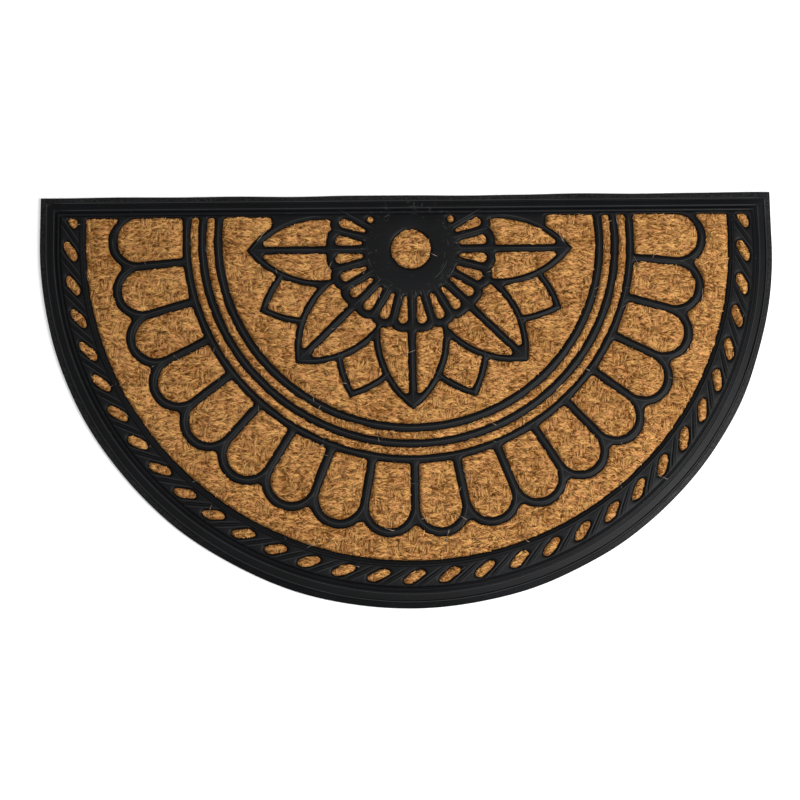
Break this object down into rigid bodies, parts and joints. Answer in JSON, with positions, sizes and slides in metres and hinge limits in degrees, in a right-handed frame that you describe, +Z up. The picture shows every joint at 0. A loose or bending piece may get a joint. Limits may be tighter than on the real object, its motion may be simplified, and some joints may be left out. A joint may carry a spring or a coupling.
{
  "type": "half-round doormat",
  "caption": "Half-round doormat: a coir panel held under a pierced black rubber moulding with a half rosette, thin arcs, a scalloped arcade and a rope border.",
  "frame": {"origin": "middle of the underside's bounding rectangle, on the floor", "axes": "+X along the straight edge, +Y towards the straight edge, +Z up out of the patterned face"},
  "size_m": [0.7, 0.395, 0.0088],
  "materials": {
    "rubber": "matte to satin charcoal-black moulded rubber",
    "coir": "coarse golden-brown woven coir fibre"
  },
  "bodies": {
    "root": {"rubber_moulding": "rubber", "coir_panel": "coir"}
  },
  "joints": []
}
